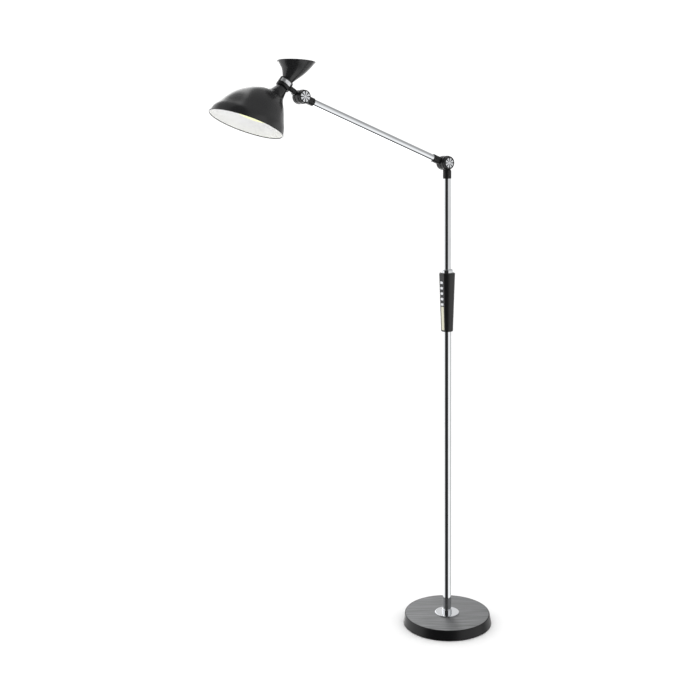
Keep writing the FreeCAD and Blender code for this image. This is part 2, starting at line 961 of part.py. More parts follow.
def band_screw():
    start = ring_radius - band_screw_length
    shank = band_screw_line(band_screw_radius, start, ring_radius)
    head = band_screw_line(band_screw_head_radius, ring_radius, ring_radius + band_screw_head_height)
    slot = block(ring_radius + band_screw_head_height / 2, ring_radius + band_screw_length,
                 -band_screw_head_radius, band_screw_head_radius,
                 -band_screw_slot / 2, band_screw_slot / 2)
    slot = put(slot, aim(neck_place(), band_middle_azimuth).multiply(
        at(0, 0, (band_bottom + band_top) / 2)))
    return shank.fuse(head).removeSplitter().cut(slot)


def neck_tube():
    reach = neck_end + shade_wall + neck_nut_height + neck_tube_overhang
    tube = rod_z(neck_tube_radius, -reach, reach)
    tube = tube.cut(rod_z(neck_tube_radius - neck_tube_wall, -reach, reach))
    return put(tube, neck_place())


def nut(start, end):
    return hex_prism(neck_nut_radius, start, end).cut(rod_z(neck_tube_radius, start, end))


def neck_nuts():
    near = neck_end + shade_wall
    far = near + neck_nut_height
    return Part.makeCompound([put(nut(near, far), neck_place()),
                              put(nut(-far, -near), neck_place())])


# ---- shade ----

def section(place, x, z, radius, normal):
    # A circle in the plane of the head: centre at x out and z up, normal at this elevation.
    angle = math.radians(normal)
    centre = vec(x, 0, z)
    axis = vec(math.cos(angle), 0, math.sin(angle))
    side = vec(-math.sin(angle), 0, math.cos(angle))
    turn = FreeCAD.Rotation(side, axis.cross(side), axis, "ZXY")
    circle = Part.Wire([Part.makeCircle(radius)])
    circle.Placement = FreeCAD.Placement(centre, turn)
    return put(circle, place)


def flared(sections, neck_radius, rim_radius, reach, rise, neck_normal, rim_normal,
           start_height, inset, shift):
    # A lofted trumpet from the neck to its rim, in the plane of the head.
    # The sections may be inset and shifted toward the rim, for the inner face of the sheet.
    place = frame(neck_place().Base, 0)
    tilt = math.radians(neck_axis_tilt)
    first_x = -math.sin(tilt) * start_height
    first_z = math.cos(tilt) * start_height
    wires = []
    for out, up, growth, turn in sections:
        normal = neck_normal + (rim_normal - neck_normal) * turn
        angle = math.radians(normal)
        x = first_x + reach * out + shift * math.cos(angle)
        z = first_z + rise * up + shift * math.sin(angle)
        radius = neck_radius + (rim_radius - neck_radius) * growth - inset
        wires.append(section(place, x, z, radius, normal))
    return Part.makeLoft(wires, True, False)


def shade_blank(inset, shift):
    return flared(shade_sections, shade_neck_radius, shade_rim_radius, shade_reach, -shade_drop,
                  shade_neck_normal, shade_rim_normal, -neck_end, inset, shift)


def cone_blank(inset, shift):
    return flared(cone_sections, cone_neck_radius, cone_rim_radius, -cone_back, cone_rise,
                  cone_neck_normal, cone_rim_normal, neck_end, inset, shift)


def neck_hole():
    reach = neck_end + 2 * shade_wall
    return put(rod_z(neck_tube_radius, -reach, reach), neck_place())


def shade_dome():
    body = shade_blank(0, 0).cut(shade_blank(shade_wall, shade_wall))
    return body.cut(neck_hole())


def rear_cone():
    body = cone_blank(0, 0).cut(cone_blank(shade_wall, shade_wall))
    return body.cut(neck_hole())


# ---- lamp module ----

def pan_place():
    # Z along the inward normal of the rim, the origin in the middle of the diffuser's face.
    base = neck_place().Base
    tilt = math.radians(neck_axis_tilt)
    normal = math.radians(shade_rim_normal)
    rim_x = math.sin(tilt) * neck_end + shade_reach
    rim_z = -math.cos(tilt) * neck_end - shade_drop
    x = rim_x - math.cos(normal) * pan_depth_in_shade + math.sin(normal) * pan_back_from_centre
    z = rim_z - math.sin(normal) * pan_depth_in_shade - math.cos(normal) * pan_back_from_centre
    return frame(base + vec(-x, 0, z), shade_rim_normal + 90)


def led_pan():
    pan = turned([
        (0, 0, 0),
        (pan_radius, 0, fine_round),
        (pan_radius, pan_height, pan_round),
        (0, pan_height, 0),
    ])
    pan = pan.cut(rod_z(pan_radius - pan_wall, 0, pan_height - pan_wall))
    return put(pan, pan_place())


def led_board():
    top = pan_height - pan_wall
    return put(rod_z(led_board_radius, top - led_board_thickness, top), pan_place())


def led_diffuser():
    edge = pan_radius - pan_wall
    disc = turned([
        (0, -diffuser_proud, 0),
        (edge - diffuser_slope, -diffuser_proud, small_round),
        (edge, 0, fine_round),
        (edge, diffuser_thickness, 0),
        (0, diffuser_thickness, 0),
    ])
    return put(disc, pan_place())


def led_post():
    # A tube from the neck to the back of the pan, cut to the pan's slant.
    start = neck_end + shade_wall + neck_nut_height + neck_tube_overhang
    far = 2 * shade_drop
    tube = rod_z(post_radius, -far, -start)
    tube = put(tube, neck_place())
    beyond = put(block(-far, far, -far, far, -far, pan_height), pan_place())
    tube = tube.cut(beyond)
    bore = put(rod_z(post_radius - post_wall, -far, -start), neck_place())
    collar = rod_z(neck_tube_radius, -start - post_cap_thickness, -start)
    collar = put(collar, neck_place())
    return tube.fuse(collar).cut(bore).removeSplitter()


def write(name, shape):
    shape.exportStep("parts/" + name + ".step")
    print(name, round(shape.Volume), shape.isValid(), len(shape.Solids))


def main():
    os.makedirs("parts", exist_ok=True)
    write("base_cover", base_cover())
    write("base_weight", base_weight())
    write("base_top_plate", base_top_plate())
    write("floor_pad", floor_pad())
    write("cord_gland", cord_gland())
    write("pole_flange", pole_flange())
    write("pole_collar", pole_collar())
    write("collar_screw", collar_screw())
    write("foot_plug", foot_plug())
    write("foot_washer", foot_washer())
    write("foot_bolt", foot_bolt())
    write("lower_pole", lower_pole())
    write("pole_joint", pole_joint())
    write("upper_pole", upper_pole())
    write("housing", housing())
    write("pole_ferrule", pole_ferrule())
    write("control_panel", control_panel())
    for index in range(key_count):
        write("key_" + str(index + 1), key(index))
    write("control_board", control_board())
    write("key_switches", key_switches())
    write("board_ribs", board_ribs())
    write("night_light_lens", night_light_lens())
    write("night_light_strip", night_light_strip())
    write("elbow_pole_half", elbow_pole_half())
    write("pole_set_screw", pole_set_screw())
    write("elbow_washer", put(hinge_washer(elbow_pole_half_back), elbow_place(0)))
    write("elbow_bolt", put(hinge_bolt(elbow_arm_half_back, elbow_pole_half_front),
                            elbow_place(0)))
    write("elbow_knob", put(knob_body(elbow_knob_radius, elbow_knob_start(),
                                      elbow_knob_thickness), elbow_place(0)))
    write("elbow_knob_face", put(knob_face(elbow_knob_start(), elbow_knob_thickness),
                                 elbow_place(0)))
    write("elbow_arm_half", elbow_arm_half())
    write("elbow_cap", put(hinge_cap(elbow_hub_radius - cap_step, elbow_arm_half_back,
                                     elbow_cap_depth), elbow_place(0)))
    write("arm_set_screws", arm_set_screws())
    write("arm_tube", arm_tube())
    write("head_arm_half", head_arm_half())
    write("head_washer", put(hinge_washer(head_arm_half_back), head_place(0)))
    write("head_bolt", put(hinge_bolt(head_stem_half_back, head_arm_half_front),
                           head_place(0)))
    write("head_knob", put(knob_body(head_knob_radius, head_knob_start(), head_knob_thickness),
                           head_place(0)))
    write("head_knob_face", put(knob_face(head_knob_start(), head_knob_thickness),
                                head_place(0)))
    write("stem_and_ring", stem_and_ring())
    write("head_cap", put(hinge_cap(head_hub_radius - cap_step, head_stem_half_back,
                                    head_cap_depth), head_place(0)))
    write("neck_band", neck_band())
    write("band_screw", band_screw())
    write("neck_tube", neck_tube())
    write("neck_nuts", neck_nuts())
    write("shade_dome", shade_dome())
    write("rear_cone", rear_cone())
    write("led_pan", led_pan())
    write("led_board", led_board())
    write("led_diffuser", led_diffuser())
    write("led_post", led_post())


main()
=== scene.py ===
# %% [markdown]
# # Adjustable arm floor lamp
# A chrome pole stands on a heavy round base and carries a hinged arm with a waisted black shade.
# The lamp's solids come from the design model. This script gives every piece its material,
# and it builds finer surfaces where the eye looks closely: the shade and the cone, the turned
# parts, the castings of both hinges, the knobs and the keys.

# %% Setup
import json
import math

import bmesh
import bpy
from mathutils import Matrix, Vector


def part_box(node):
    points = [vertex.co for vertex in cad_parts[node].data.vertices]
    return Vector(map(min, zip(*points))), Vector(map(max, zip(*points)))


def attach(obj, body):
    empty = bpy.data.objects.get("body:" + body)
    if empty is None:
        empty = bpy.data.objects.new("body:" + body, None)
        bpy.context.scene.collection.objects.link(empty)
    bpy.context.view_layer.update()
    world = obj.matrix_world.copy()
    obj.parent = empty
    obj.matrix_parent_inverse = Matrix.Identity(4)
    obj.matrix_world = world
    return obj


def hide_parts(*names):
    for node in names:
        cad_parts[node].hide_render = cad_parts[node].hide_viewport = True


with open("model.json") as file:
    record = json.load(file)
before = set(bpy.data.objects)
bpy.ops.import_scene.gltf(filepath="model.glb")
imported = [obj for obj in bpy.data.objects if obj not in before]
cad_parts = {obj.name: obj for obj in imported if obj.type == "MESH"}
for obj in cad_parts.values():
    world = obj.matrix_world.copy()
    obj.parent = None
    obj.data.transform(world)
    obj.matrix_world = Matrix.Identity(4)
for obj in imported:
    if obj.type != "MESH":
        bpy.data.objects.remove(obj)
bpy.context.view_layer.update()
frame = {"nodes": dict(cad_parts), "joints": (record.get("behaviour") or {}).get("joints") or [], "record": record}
nodes = frame["nodes"]
joints = {joint["name"]: joint for joint in frame["joints"]}
MM = 0.001
print("pieces in the design:", len(nodes))

# %% [markdown]
# ## Colours and shader nodes
# Colours are written as sRGB hex values, because that is how paint and plastic are usually
# named on a screen. Shaders work in linear light, so one function turns every colour.
# A second function adds a shader node with its settings and links, so that a material reads
# as a short list of what feeds what.

# %% Colour and node helpers
def srgb(code):
    """Linear colour with alpha from a hex code such as 'f0f0f0'."""
    out = []
    for i in (0, 2, 4):
        value = int(code[i:i + 2], 16) / 255
        low = value / 12.92
        high = ((value + 0.055) / 1.055) ** 2.4
        out.append(low if value <= 0.04045 else high)
    return (*out, 1.0)


def add(tree, kind, values=None, links=None, **settings):
    """Adds one shader node. values fill its sockets and links feed them from other nodes."""
    node = tree.nodes.new(kind)
    for name, value in settings.items():
        setattr(node, name, value)
    for name, value in (values or {}).items():
        node.inputs[name].default_value = value
    for name, source in (links or {}).items():
        tree.links.new(source, node.inputs[name])
    return node


print("mid grey in linear light:", round(srgb("808080")[0], 3))

# %% [markdown]
# ## One recipe for a surface with a grain
# Real surfaces are never one flat colour. Powder coat has an orange peel, moulded plastic has
# a fine spark texture, and polished metal has soft clouds of wear in its gloss. All of them
# can be made with one noise pattern at the right size in millimetres: it shifts the colour a
# little, moves the roughness, and lifts the surface by a few hundredths of a millimetre.
# Values that are the same all over are set on the shader itself.

# %% Surface recipe
def surface(name, colours, rough, grain_mm, relief_mm=0.0, turn=0.0, stretch=(1, 1, 1),
            detail=3.0, **shader_values):
    """A principled surface. colours, rough: its two ends, mixed by a noise of this size."""
    material = bpy.data.materials.new(name)
    material.use_nodes = True
    tree = material.node_tree
    tree.nodes.clear()
    place = add(tree, "ShaderNodeTexCoord")
    turned = add(tree, "ShaderNodeVectorRotate", {"Angle": turn},
                 {"Vector": place.outputs["Object"]}, rotation_type="Z_AXIS")
    scale = [1 / (grain_mm * MM * along) for along in stretch]
    sized = add(tree, "ShaderNodeMapping", {"Scale": scale}, {"Vector": turned.outputs["Vector"]})
    noise = add(tree, "ShaderNodeTexNoise", {"Scale": 1.0, "Detail": detail},
                {"Vector": sized.outputs["Vector"]})
    grain = noise.outputs["Fac"]
    tint = add(tree, "ShaderNodeMix", data_type="RGBA")
    tint.inputs[6].default_value = srgb(colours[0])
    tint.inputs[7].default_value = srgb(colours[1])
    tree.links.new(grain, tint.inputs[0])
    gloss = add(tree, "ShaderNodeMapRange", {"To Min": rough[0], "To Max": rough[1]},
                {"Value": grain})
    shader = add(tree, "ShaderNodeBsdfPrincipled", shader_values,
                 {"Base Color": tint.outputs[2], "Roughness": gloss.outputs["Result"]})
    if relief_mm > 0:
        lift = add(tree, "ShaderNodeBump", {"Strength": 0.6, "Distance": relief_mm * MM},
                   {"Height": grain})
        tree.links.new(lift.outputs["Normal"], shader.inputs["Normal"])
    add(tree, "ShaderNodeOutputMaterial", links={"Surface": shader.outputs["BSDF"]})
    return material


print("surface recipe ready")

# %% [markdown]
# ## Bright metals
# Poles, arm, flange and knob faces are chromed steel tube and sheet, buffed to a mirror.
# The eye sees the room in it, so the colour is nearly white and the roughness very low, with
# faint clouds some centimetres across where hands have wiped it.
# The base plate is stainless steel, brushed in straight strokes. Real strokes are about a
# tenth of a millimetre apart, which is too fine to show, so they are drawn 3 mm wide and
# 84 mm long.
# The band on the neck is chromed over a blasted surface, so it shines without mirroring.
# Hidden screws, nuts and bushes are zinc-plated steel, and the set screws are blackened.

# %% Bright metals
stroke_turn = math.radians(33)
chrome = surface("chromed_steel", ("dfe1e4", "eceef0"), (0.03, 0.06), 30, Metallic=1.0)
brushed_steel = surface("brushed_stainless_steel", ("454647", "adaeaf"), (0.42, 0.56), 3.0, 0.03,
                        stroke_turn, (28, 1, 1), 5.0, Metallic=1.0)
satin_chrome = surface("satin_chromed_steel", ("e6e7e9", "f2f3f4"), (0.42, 0.5), 6.0, Metallic=1.0)
zinc = surface("zinc_plated_steel", ("a4a8ab", "bfc2c5"), (0.28, 0.42), 2.0, 0.01, Metallic=1.0)
# Dark steel for the set screws; the knob discs also use it as painted shade on their notch floors.
dark_steel_and_notch_shade = surface("blackened_steel_and_notch_shade", ("1a1a1b", "242426"), (0.35, 0.5), 1.0, 0.01,
                    Metallic=0.6)
iron = surface("cast_iron", ("3a3a3b", "4b4b4c"), (0.6, 0.8), 1.5, 0.2, Metallic=0.6)
print("bright metals ready")

# %% [markdown]
# ## Black finishes
# The steel cover of the base is powder coated: a satin black with an orange peel about a
# millimetre across. The spun aluminium shade carries stoved enamel, which is smoother and
# a little lighter. The castings of the hinges are painted over their cast skin. The grip,
# caps and knobs are moulded plastic (ABS and nylon), and the strip under the keys is polished.
# All are dielectrics with an index near 1.5, so their edges pick up white from the room.

# %% Black finishes
powder_black = surface("black_powder_coat", ("08080a", "101011"), (0.30, 0.38), 0.9, 0.012,
                       **{"IOR": 1.5, "Specular IOR Level": 0.36})
enamel_black = surface("black_stoved_enamel", ("1b1b1c", "222223"), (0.22, 0.28), 1.1, 0.008,
                       IOR=1.52)
cast_black = surface("painted_cast_aluminium", ("09090a", "101011"), (0.40, 0.50), 0.7, 0.02,
                     IOR=1.5)
abs_black = surface("moulded_black_abs", ("0c0c0d", "131314"), (0.32, 0.40), 0.5, 0.012, IOR=1.53)
nylon_black = surface("moulded_black_nylon", ("09090a", "101011"), (0.36, 0.46), 0.6, 0.012,
                      IOR=1.53)
gloss_black = surface("polished_black_abs", ("0b0e12", "12161b"), (0.14, 0.2), 4.0, IOR=1.53)
rubber = surface("black_rubber", ("151515", "1d1d1d"), (0.6, 0.75), 1.0, 0.02, IOR=1.52)
print("black finishes ready")

# %% [markdown]
# ## Pale finishes and lenses
# The inside of the shade and the lamp module are white enamel, which spreads the light.
# The keys are ABS with a bright silver lacquer. The board is green glass-epoxy laminate.
# Both lenses are frosted acrylic: the diffuser shines warm, and the night light in the grip
# glows weakly.

# %% Pale finishes
enamel_white = surface("white_enamel", ("f8f8f8", "fefefe"), (0.32, 0.40), 1.2, 0.008, IOR=1.5)
key_lacquer = surface("silver_lacquered_abs", ("d6dade", "e8eaec"), (0.20, 0.28), 0.8,
                      Metallic=0.25)
laminate = surface("glass_epoxy_board", ("1d4a2a", "275a35"), (0.4, 0.5), 2.0, 0.01, IOR=1.55)
glow = {"Emission Color": srgb("f6f7ae"), "Emission Strength": 0.40}
lamp_lens = surface("frosted_acrylic_diffuser", ("d0d2a2", "d9dbae"), (0.35, 0.5), 3.0, **glow)
glow = {"Emission Color": srgb("f2eaa8"), "Emission Strength": 0.03}
night_lens = surface("frosted_acrylic_night_light", ("cbc9b4", "d8d6c4"), (0.3, 0.42), 3.0, **glow)
print("materials:", len(bpy.data.materials))

# %% [markdown]
# ## Outlines with true arcs
# Most pieces of this lamp are turned on a lathe. A turned piece is one outline spun about an
# axis, and what makes it look real is its rounded corners, because every edge then catches
# a thin line of light. The outline is given as (radius, height along the axis, rounding)
# corners in millimetres, and each rounding becomes a true arc.

# %% Rounded outline
arc_steps = 7


def rounded(corners):
    """Points of a closed outline, with an arc of the given radius at each corner."""
    points = []
    for i, (x, y, radius) in enumerate(corners):
        here = Vector((x, y))
        if radius == 0:
            points.append(here)
            continue
        back = (Vector(corners[i - 1][:2]) - here).normalized()
        ahead = (Vector(corners[(i + 1) % len(corners)][:2]) - here).normalized()
        half = back.angle(ahead) / 2
        centre = here + (back + ahead).normalized() * (radius / math.sin(half))
        first = here + back * (radius / math.tan(half)) - centre
        last = here + ahead * (radius / math.tan(half)) - centre
        sweep = math.copysign(math.pi - 2 * half, first.x * last.y - first.y * last.x)
        for step in range(arc_steps + 1):
            points.append(centre + Matrix.Rotation(sweep * step / arc_steps, 2) @ first)
    return points


print("points in a rounded square:",
      len(rounded([(1, 0, 0.2), (2, 0, 0.2), (2, 1, 0.2), (1, 1, 0.2)])))

# %% [markdown]
# ## A skin over rings
# A turned piece, a shade or a tube is a row of rings with the same number of points. Joining
# each ring to the next gives clean four-sided faces that follow the shape, which shade better
# than triangles. A solid piece gets a flat face on its first and last ring, and a hollow one
# closes onto its first ring again.

# %% Skin and lathe
def skin(name, rings, closed=False):
    """A mesh over these rings. closed joins the last ring to the first, or both get a face."""
    mesh = bpy.data.meshes.new(name)
    count = len(rings[0])
    faces = []
    for i in range(len(rings) - (0 if closed else 1)):
        here = i * count
        there = (i + 1) % len(rings) * count
        for j in range(count):
            k = (j + 1) % count
            faces.append((here + j, here + k, there + k, there + j))
    if not closed:
        faces.append(tuple(range(count)))
        faces.append(tuple(range(len(rings) * count - count, len(rings) * count)))
    mesh.from_pydata([point for ring in rings for point in ring], [], faces)
    work = bmesh.new()
    work.from_mesh(mesh)
    bmesh.ops.recalc_face_normals(work, faces=work.faces)
    work.to_mesh(mesh)
    work.free()
    return mesh


def lathe(name, place, corners, around=96):
    """Spins the outline about the local Z axis of this place."""
    outline = rounded(corners)
    solid = any(point.x == 0 for point in outline)
    rings = []
    for point in outline:
        if point.x == 0:
            continue
        ring = []
        for j in range(around):
            turn = 2 * math.pi * j / around
            ring.append(place @ (Vector((point.x * math.cos(turn), point.x * math.sin(turn),
                                         point.y)) * MM))
        rings.append(ring)
    return skin(name, rings, closed=not solid)


print("lathe ready")

# %% [markdown]
# ## Putting a piece on the lamp
# Each new piece stands in for one solid of the design: it rides on the same body, so it moves
# with the joint, and the solid itself is hidden. Smooth shading alone would bend the light over
# flat faces beside a small rounding, so the normals are weighted by area.

# %% Place a piece
bodies = frame["record"]["behaviour"]["bodies"]
home = {node: body for body, members in bodies.items() for node in members}
sharp_angle = math.radians(38)


def fit(mesh, node, *materials):
    """Shows this mesh in place of the design's node, on the same body."""
    thing = bpy.data.objects.new(mesh.name, mesh)
    bpy.context.collection.objects.link(thing)
    for material in materials:
        mesh.materials.append(material)
    mesh.shade_smooth()
    mesh.set_sharp_from_angle(angle=sharp_angle)
    even = thing.modifiers.new("even_normals", "WEIGHTED_NORMAL")
    even.keep_sharp = True
    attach(thing, home[node])
    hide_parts(node)
    print(mesh.name, "faces:", len(mesh.polygons))
    return thing


# %% [markdown]
# ## Where things are
# The joints of the design give the hinge axes, and the boxes of its solids give heights and
# radii. A local frame in the plane of the arm has X out along the arm, Y toward the knobs and
# Z up from X, so that a hinge piece is described as it would be drawn on a bench.

# %% Local frames
def bench(pivot, elevation):
    """Local axes at a pivot, with X out at this elevation in degrees."""
    angle = math.radians(elevation)
    out = Vector((-math.cos(angle), 0, math.sin(angle)))
    knob_way = Vector((0, -1, 0))
    up = Vector((math.sin(angle), 0, math.cos(angle)))
    axes = Matrix((out, knob_way, up)).transposed().to_4x4()
    return Matrix.Translation(pivot) @ axes


# Turns a lathe's Z axis onto the local Y or the local X axis.
along_y = Matrix.Rotation(math.radians(-90), 4, "X")
along_x = Matrix.Rotation(math.radians(90), 4, "Y")

elbow = Vector(joints["elbow_hinge"]["pos_m"])
wrist = Vector(joints["head_hinge"]["pos_m"])
neck = Vector(joints["head_swivel"]["pos_m"])
reach = wrist - elbow
arm_rise = math.degrees(math.atan2(reach.z, -reach.x))
upright = Matrix.Identity(4)
print("the arm rises", round(arm_rise, 1), "degrees over", round(reach.length / MM), "mm")

# %% [markdown]
# ## Base
# The base is a steel cover drawn over an iron weight, with a brushed plate let into its top.
# The cover leans in a little, and its two visible edges are what the eye reads: a round
# shoulder outside and a crisp one where the plate sits. A lathe is the natural tool.

# %% Base cover and plate
cover_low, cover_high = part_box("base_cover")
plate_low, plate_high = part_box("base_top_plate")
cover_radius = cover_high.x / MM
cover_top = cover_high.z / MM
cover_bottom = cover_low.z / MM
plate_radius = plate_high.x / MM
plate_bottom = plate_low.z / MM
side_lean = 5.3
sheet = 2.2
ledge = 4.4
fit_gap = 0.05
pole_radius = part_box("lower_pole")[1].x / MM
inner_top = cover_radius - side_lean - sheet
base_around = 224

cover = lathe("drawn_base_cover", upright, [
    (cover_radius - sheet, cover_bottom, 0.4),
    (cover_radius, cover_bottom, 0.8),
    (cover_radius - side_lean, cover_top, 1.6),
    (plate_radius + fit_gap, cover_top, 0.5),
    (plate_radius + fit_gap, plate_bottom, 0),
    (plate_radius - ledge, plate_bottom, 0),
    (plate_radius - ledge, plate_bottom - sheet, 0),
    (inner_top, plate_bottom - sheet, 0),
], base_around)
fit(cover, "base_cover", powder_black)

plate = lathe("brushed_base_plate", upright, [
    (pole_radius + fit_gap, plate_bottom, 0),
    (plate_radius, plate_bottom, 0),
    (plate_radius, cover_top, 0.45),
    (pole_radius + fit_gap, cover_top, 0.2),
], base_around)
fit(plate, "base_top_plate", brushed_steel)

# %% [markdown]
# ## Pole, foot and ferrule
# The pole is two chromed tubes that meet inside the control grip. A flat flange covers the
# hole in the base plate, and a rounded ferrule closes the top of the grip. Each tube end is
# broken by a small chamfer, as a cut and buffed tube is.

# %% Pole
def tube_piece(name, node, place, radius, wall, low, high):
    """A chromed tube between two heights on the axis of this place."""
    mesh = lathe(name, place, [
        (radius - wall, low, 0.3),
        (radius, low, 0.5),
        (radius, high, 0.5),
        (radius - wall, high, 0.3),
    ], 128)
    return fit(mesh, node, chrome)


pole_wall = 1.5
lower_low, lower_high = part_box("lower_pole")
upper_low, upper_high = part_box("upper_pole")
tube_piece("chromed_lower_pole", "lower_pole", upright, pole_radius, pole_wall,
           lower_low.z / MM, lower_high.z / MM)
tube_piece("chromed_upper_pole", "upper_pole", upright, upper_high.x / MM, pole_wall,
           upper_low.z / MM, upper_high.z / MM)

# %% Flange and ferrule
flange_low, flange_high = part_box("pole_flange")
flange = lathe("polished_flange", upright, [
    (pole_radius + fit_gap, flange_low.z / MM, 0),
    (flange_high.x / MM, flange_low.z / MM, 0),
    (flange_high.x / MM, flange_high.z / MM, 1.2),
    (pole_radius + fit_gap, flange_high.z / MM, 0.2),
], 160)
fit(flange, "pole_flange", chrome)

ferrule_low, ferrule_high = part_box("pole_ferrule")
ferrule = lathe("rounded_ferrule", upright, [
    (upper_high.x / MM, ferrule_low.z / MM, 0),
    (ferrule_high.x / MM, ferrule_low.z / MM, 0.5),
    (ferrule_high.x / MM, ferrule_high.z / MM, 3.6),
    (upper_high.x / MM, ferrule_high.z / MM, 0.4),
], 128)
fit(ferrule, "pole_ferrule", chrome)

# %% [markdown]
# ## Arm
# The arm is a thinner chromed tube between the two hinges. Its ends sit in the sockets of
# the castings, so its place follows from the two hinge axes.

# %% Arm tube
arm_radius = 8.0
arm_wall = 1.2
seat_at_elbow = 23.0
seat_at_head = 21.0
arm_line = Matrix.Translation(Vector((0, wrist.y, 0))) @ bench(elbow, arm_rise)
arm_length = Vector((reach.x, 0, reach.z)).length / MM
tube_piece("chromed_arm", "arm_tube", arm_line @ along_x, arm_radius, arm_wall, seat_at_elbow,
           arm_length - seat_at_head)

# %% [markdown]
# ## Hinge castings
# The four hinge parts are aluminium castings. Sand or die casting rounds every inside corner,
# and paint rounds it further. Beveling the many crossing edges by hand would be slow, so the
# design's solid is rebuilt from small even cells and then relaxed a few times. That melts the
# joints between cheek, bridge and socket together, as casting does, and keeps the screw holes.

# %% Castings
cell_mm = 0.42
relax_rounds = 4


def cast_skin(name, node, material):
    """The design's solid with its inside corners melted, as a painted casting has them."""
    source = nodes[node].data.copy()
    work = bmesh.new()
    work.from_mesh(source)
    bmesh.ops.remove_doubles(work, verts=work.verts, dist=0.001 * MM)
    work.to_mesh(source)
    work.free()
    blank = bpy.data.objects.new(name, source)
    bpy.context.collection.objects.link(blank)
    cells = blank.modifiers.new("cells", "REMESH")
    cells.mode = "VOXEL"
    cells.voxel_size = cell_mm * MM
    relax = blank.modifiers.new("relax", "SMOOTH")
    relax.factor = 0.5
    relax.iterations = relax_rounds
    bpy.context.view_layer.update()
    shaped = blank.evaluated_get(bpy.context.evaluated_depsgraph_get())
    mesh = bpy.data.meshes.new_from_object(shaped)
    mesh.name = name
    bpy.data.objects.remove(blank)
    mesh.materials.clear()
    return fit(mesh, node, material)


cast_skin("cast_elbow_fork", "elbow_pole_half", cast_black)
cast_skin("cast_arm_root", "elbow_arm_half", cast_black)
cast_skin("cast_arm_end", "head_arm_half", cast_black)
cast_skin("cast_neck_ring", "stem_and_ring", cast_black)

# %% [markdown]
# ## Caps and clamp knobs
# A domed nylon cap hides the bolt behind each hinge. In front, a nylon knob carries a chromed
# disc with eight wedge-shaped notches. The disc is made as rings too: between the notches it
# is flat, and in a notch its height falls in a V that widens toward the edge. The floor of each
# notch gets a dark finish, which is a guess: it is painted shade and painted reflection for
# dark wedges that may only be the gleam of a turned disc.

# %% Caps
cap_wall = 1.2
cap_bore = 7.5


def cap(name, node, pivot, mouth, radius, depth):
    """A domed cup. mouth is the height of its open face along the hinge's axis."""
    mesh = lathe(name, bench(pivot, 0) @ along_y, [
        (0, mouth - depth, 0),
        (radius * 0.62, mouth - depth, depth * 0.3),
        (radius, mouth - depth * 0.42, depth * 0.25),
        (radius, mouth, 0),
        (cap_bore, mouth, 0),
        (cap_bore, mouth - depth + cap_wall, 0),
        (0, mouth - depth + cap_wall, 0),
    ])
    return fit(mesh, node, nylon_black)


def local_span(node, pivot):
    """How far a piece reaches along the hinge's axis, toward the knobs, in millimetres."""
    low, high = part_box(node)
    return (pivot.y - high.y) / MM, (pivot.y - low.y) / MM


for name, node, pivot in (("elbow_hinge_cap", "elbow_cap", elbow),
                          ("head_hinge_cap", "head_cap", wrist)):
    back_face, front_face = local_span(node, pivot)
    low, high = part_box(node)
    cap(name, node, pivot, front_face, (high.z - low.z) / 2 / MM, front_face - back_face)

# %% Knob bodies
face_radius = 12.2
face_sheet = 1.4


def knob(name, node, pivot):
    """A moulded knob with a shallow seat in front for its disc."""
    back_face, front_face = local_span(node, pivot)
    low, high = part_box(node)
    radius = (high.z - low.z) / 2 / MM
    mesh = lathe(name, bench(pivot, 0) @ along_y, [
        (0, back_face, 0),
        (radius, back_face, 0.9),
        (radius, front_face, 1.6),
        (face_radius, front_face, 0.3),
        (face_radius, front_face - face_sheet, 0),
        (0, front_face - face_sheet, 0),
    ], 128)
    return fit(mesh, node, nylon_black)


print("seat for a disc:", 2 * face_radius, "mm across")

# %% Notched discs
notch_count = 8
notch_half_turn = math.radians(9.5)
notch_depth = 1.0
notch_start = 1.5
notch_full = 6.0
notch_floor = 0.16
disc_around = 240
disc_edge = 0.6
disc_rows = 26


def notch_fall(turn, radius):
    """How deep the notch is at this angle and radius."""
    pitch = 2 * math.pi / notch_count
    off = (turn + pitch / 2) % pitch - pitch / 2
    across = max(0.0, 1 - abs(off) / notch_half_turn)
    along = min(1.0, max(0.0, (radius - notch_start) / (notch_full - notch_start)))
    return notch_depth * across * along


def knob_disc(name, node, pivot):
    """A chromed disc as rings from its back to its centre, with painted shade on its notch floors."""
    back_face, front_face = local_span(node, pivot)
    place = bench(pivot, 0) @ along_y
    outline = rounded([(0, back_face, 0), (face_radius, back_face, 0),
                       (face_radius, front_face, 0.5), (0, front_face, 0)])
    stops = [(point.x, point.y) for point in outline if point.x > 0]
    inner = stops[-1][0]
    stops += [(inner * (1 - step / disc_rows), front_face) for step in range(1, disc_rows - 1)]
    step_turn = 2 * math.pi / disc_around
    rings = []
    for radius, height in stops:
        ring = []
        for j in range(disc_around):
            turn = step_turn * j
            drop = notch_fall(turn, radius) if height > front_face - disc_edge else 0.0
            ring.append(place @ (Vector((radius * math.cos(turn), radius * math.sin(turn),
                                         height - drop)) * MM))
        rings.append(ring)
    thing = fit(skin(name, rings), node, chrome, dark_steel_and_notch_shade)
    painted_shade_faces = 0
    for face in thing.data.polygons:
        row, step = divmod(face.vertices[0], disc_around)
        radius, height = stops[row]
        # A face deep in a notch takes the dark steel, which is painted shade there.
        deep = notch_fall(step_turn * (step + 0.5), radius) > notch_floor
        if deep and height > front_face - disc_edge:
            face.material_index = 1
            painted_shade_faces += 1
    print("faces in the notches:", painted_shade_faces)
    return thing


for side, pivot in (("elbow", elbow), ("head", wrist)):
    knob(side + "_clamp_knob", side + "_knob", pivot)
    knob_disc(side + "_clamp_disc", side + "_knob_face", pivot)

# %% [markdown]
# ## Shade and rear cone
# The shade is one waisted form in two sheets of spun aluminium: a leaning bell that opens
# toward the floor and a small cone that opens upward behind the neck. Neither is a body of
# revolution, because their axis bends. So each is described by a few circles along a bent
# line, each with a shift, a size and a tilt, and a smooth curve is passed through them.
# Black enamel covers the outside and the rolled rim, and the bell is white inside.

